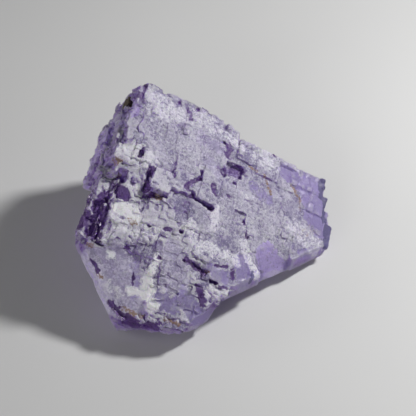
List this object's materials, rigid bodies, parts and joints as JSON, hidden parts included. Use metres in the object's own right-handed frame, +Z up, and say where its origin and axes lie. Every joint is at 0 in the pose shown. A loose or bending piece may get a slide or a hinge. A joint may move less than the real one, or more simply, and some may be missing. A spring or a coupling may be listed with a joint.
{
  "type": "fluorite specimen",
  "caption": "Hand specimen of violet fluorite: cubes grown together in parallel with a frosted stepped face, a ledged dark side wall and cleaved, undercut sides.",
  "frame": {"origin": "on the surface that the specimen lies on, under the middle of its bounding box", "axes": "+Z up, +Y away from the viewer of the picture, +X to the right in the picture; the stepped face leans to +X and -Y"},
  "size_m": [0.0526, 0.0508, 0.0319],
  "materials": {
    "violet_fluorite": "frosted crystal faces, glassy on the cleavages",
    "dark_rock": "rough"
  },
  "bodies": {
    "root": {"fluorite": "violet_fluorite", "matrix_chip": "dark_rock"}
  },
  "joints": []
}
